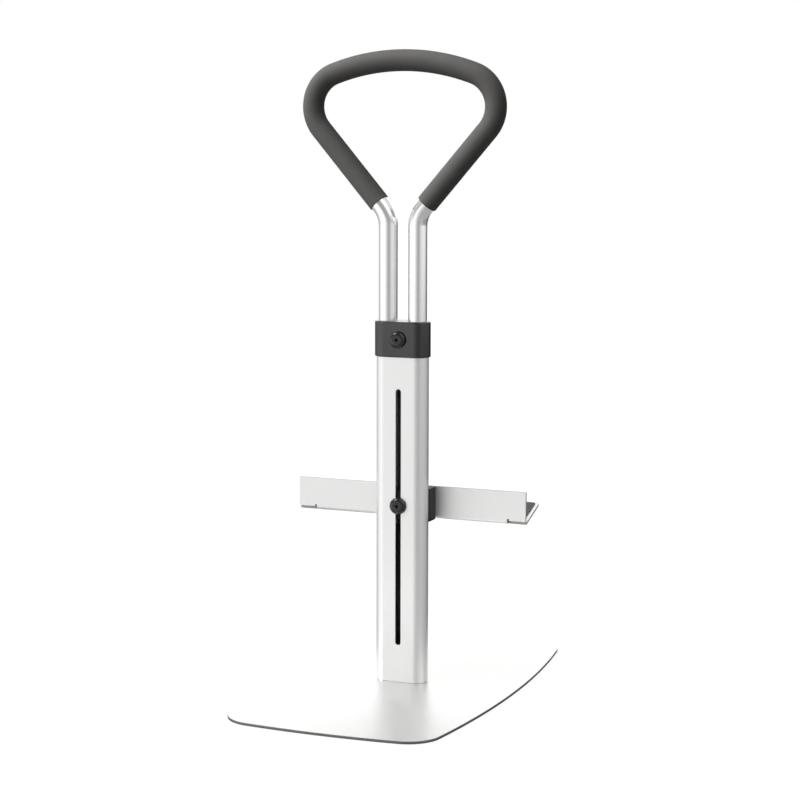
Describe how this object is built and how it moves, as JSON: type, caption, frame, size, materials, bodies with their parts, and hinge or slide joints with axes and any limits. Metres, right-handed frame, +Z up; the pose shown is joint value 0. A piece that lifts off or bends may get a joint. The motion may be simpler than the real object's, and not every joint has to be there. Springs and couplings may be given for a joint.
{
  "type": "standing support handle",
  "caption": "Standing support handle: bent tube grip loop sliding in a slotted column on a floor plate, with a height-adjustable seat bracket behind.",
  "frame": {"origin": "on the floor, under the column's axis, at the centre of the floor plate", "axes": "+Z up along the column, -Y towards the clamp screws and the open part of the floor plate, +Y towards the seat and its bracket, +X to the right seen from the front"},
  "size_m": [0.361, 0.605, 0.9294],
  "materials": {
    "sheet_aluminium": "smooth sheet, silver anodised, satin, with darker cut edges",
    "column_aluminium": "extruded, satin clear anodised",
    "handle_tube": "drawn tube, fine satin polish, clear anodised",
    "grip_rubber": "matt soft rubber sleeve",
    "collar_black": "satin black anodised aluminium",
    "black_steel": "blackened steel, half gloss",
    "black_plastic": "moulded glass-filled plastic, fine matt grain",
    "pad_rubber": "thin matt anti-slip rubber",
    "zinc_steel": "clear zinc plated steel"
  },
  "bodies": {
    "base": {"base_plate": "sheet_aluminium", "floor_pad_1": "pad_rubber", "floor_pad_2": "pad_rubber", "floor_pad_3": "pad_rubber", "floor_pad_4": "pad_rubber", "floor_pad_5": "pad_rubber", "floor_pad_6": "pad_rubber", "plate_screw_1": "zinc_steel", "plate_screw_2": "zinc_steel", "plate_screw_3": "zinc_steel", "column": "column_aluminium", "foot_block": "zinc_steel", "foot_screw_left": "black_steel", "foot_screw_right": "black_steel", "collar": "collar_black", "clamp_wedge_front": "zinc_steel", "clamp_wedge_rear": "zinc_steel"},
    "handle": {"handle_tube": "handle_tube", "grip_sleeve": "grip_rubber", "leg_plug_left": "black_plastic", "leg_plug_right": "black_plastic"},
    "bracket": {"bracket": "sheet_aluminium", "tongue_pad": "pad_rubber", "guide_saddle": "black_plastic", "saddle_screw_left": "black_steel", "saddle_screw_right": "black_steel", "slot_slider": "black_plastic", "bracket_nut": "zinc_steel"},
    "collar_clamp": {"collar_screw": "black_steel"},
    "bracket_clamp": {"bracket_screw": "black_steel"}
  },
  "joints": [
    {"name": "handle_height", "type": "slide", "parent": "base", "child": "handle", "axis": [0, 0, 1], "range_m": [-0.12, 0.12]},
    {"name": "bracket_height", "type": "slide", "parent": "base", "child": "bracket", "axis": [0, 0, 1], "range_m": [-0.203, 0.166]},
    {"name": "collar_screw_turn", "type": "hinge", "parent": "base", "child": "collar_clamp", "pos_m": [0, -0.0195, 0.5139], "axis": [0, -1, 0], "continuous": true},
    {"name": "bracket_screw_turn", "type": "hinge", "parent": "bracket", "child": "bracket_clamp", "pos_m": [0, -0.017, 0.2696], "axis": [0, -1, 0], "continuous": true}
  ]
}
